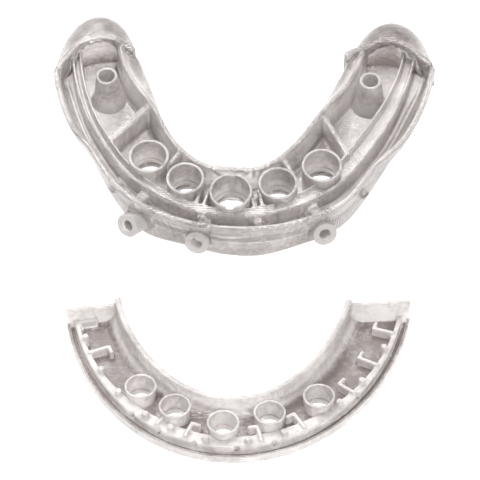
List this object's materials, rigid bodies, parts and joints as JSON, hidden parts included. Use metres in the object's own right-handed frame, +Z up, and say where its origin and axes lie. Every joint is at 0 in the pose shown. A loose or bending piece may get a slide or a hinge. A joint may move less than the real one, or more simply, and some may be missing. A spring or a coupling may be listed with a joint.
{
  "type": "impression tray",
  "caption": "Printed clear-resin impression tray for a toothless lower jaw with guide sleeves, posts and pin bushes, and its flat half-ring channel insert lying beside it.",
  "frame": {"origin": "under the middle of the tray and insert together, on the surface they lie on", "axes": "+Z up; +Y towards the back of the mouth, across the open end of the tray's arch; +X to the patient's left"},
  "size_m": [0.0656, 0.088, 0.0182],
  "materials": {
    "tray_resin": "clear printed resin, satin with fine layer lines",
    "sleeve_resin": "clear printed resin, thin walls, satin",
    "insert_resin": "clear printed resin, satin with fine layer lines"
  },
  "bodies": {
    "tray": {"tongue_flange": "tray_resin", "channel_floor": "tray_resin", "insert_rail": "tray_resin", "lip_flange": "tray_resin", "guide_sleeve_1": "sleeve_resin", "guide_sleeve_2": "sleeve_resin", "guide_sleeve_3": "sleeve_resin", "guide_sleeve_4": "sleeve_resin", "guide_sleeve_5": "sleeve_resin", "posterior_post_left": "sleeve_resin", "posterior_post_right": "sleeve_resin", "pin_bush_right": "sleeve_resin", "pin_bush_centre": "sleeve_resin", "pin_bush_left": "sleeve_resin", "channel_web_left": "sleeve_resin", "channel_web_right": "sleeve_resin", "tongue_web_left": "sleeve_resin", "tongue_web_right": "sleeve_resin", "slot_post_left": "sleeve_resin", "slot_post_right": "sleeve_resin", "end_dam_left": "tray_resin", "end_dam_right": "tray_resin", "pad_cover_left": "tray_resin", "pad_cover_right": "tray_resin"},
    "insert": {"insert_plate": "insert_resin", "insert_cup_1": "insert_resin", "insert_cup_2": "insert_resin", "insert_cup_3": "insert_resin", "insert_cup_4": "insert_resin", "insert_cup_5": "insert_resin"}
  },
  "joints": [
    {"name": "insert_lift", "type": "slide", "parent": "tray", "child": "insert", "axis": [0, 0, 1], "range_m": [0, 0.04]}
  ]
}
